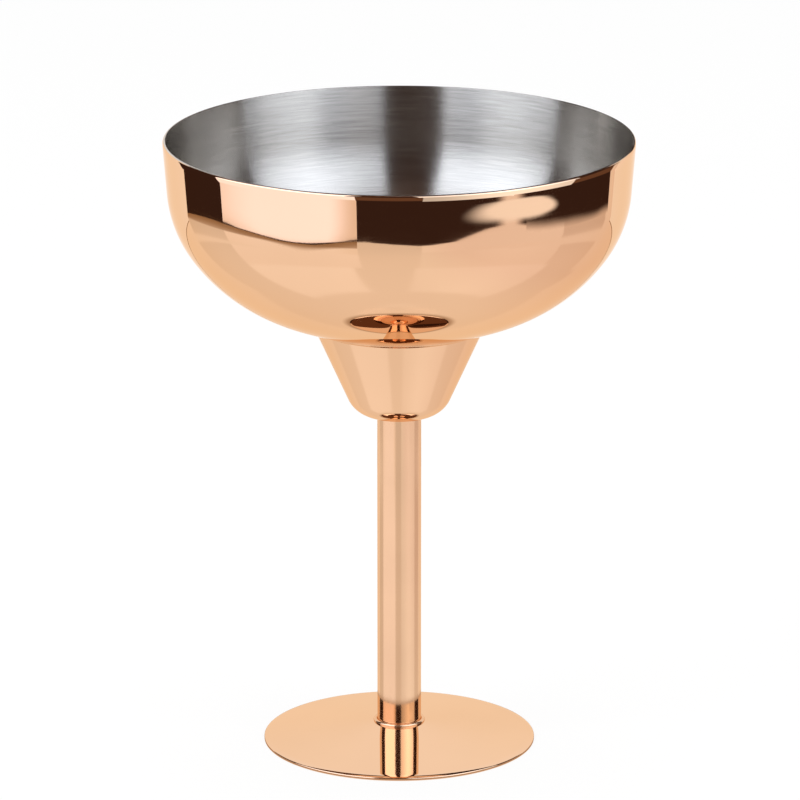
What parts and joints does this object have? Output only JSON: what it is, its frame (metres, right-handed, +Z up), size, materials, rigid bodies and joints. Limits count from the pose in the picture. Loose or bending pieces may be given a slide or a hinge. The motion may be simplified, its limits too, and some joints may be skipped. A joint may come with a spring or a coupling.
{
  "type": "margarita glass",
  "caption": "Metal margarita glass: a wide round basin over a small tapered cup, on a straight tube stem and a shallow domed disc foot; holds a mixed drink.",
  "frame": {"origin": "centre of the foot's underside, on the plane that the glass stands on", "axes": "+Z up along the axis that every piece is turned about; X and Y are alike"},
  "size_m": [0.12, 0.12, 0.1596],
  "materials": {
    "steel_lining": "stainless steel brushed round the axis",
    "bowl_copper": "mirror-polished copper",
    "stem_copper": "polished copper",
    "foot_copper": "mirror-polished copper",
    "weld_copper": "dressed and polished copper"
  },
  "bodies": {
    "root": {"basin_lining": "steel_lining", "basin_copper": "bowl_copper", "cup_lining": "steel_lining", "cup_copper": "bowl_copper", "neck_bead": "weld_copper", "stem_tube": "stem_copper", "head_bead": "weld_copper", "ring_bead": "weld_copper", "foot": "foot_copper"}
  },
  "joints": []
}
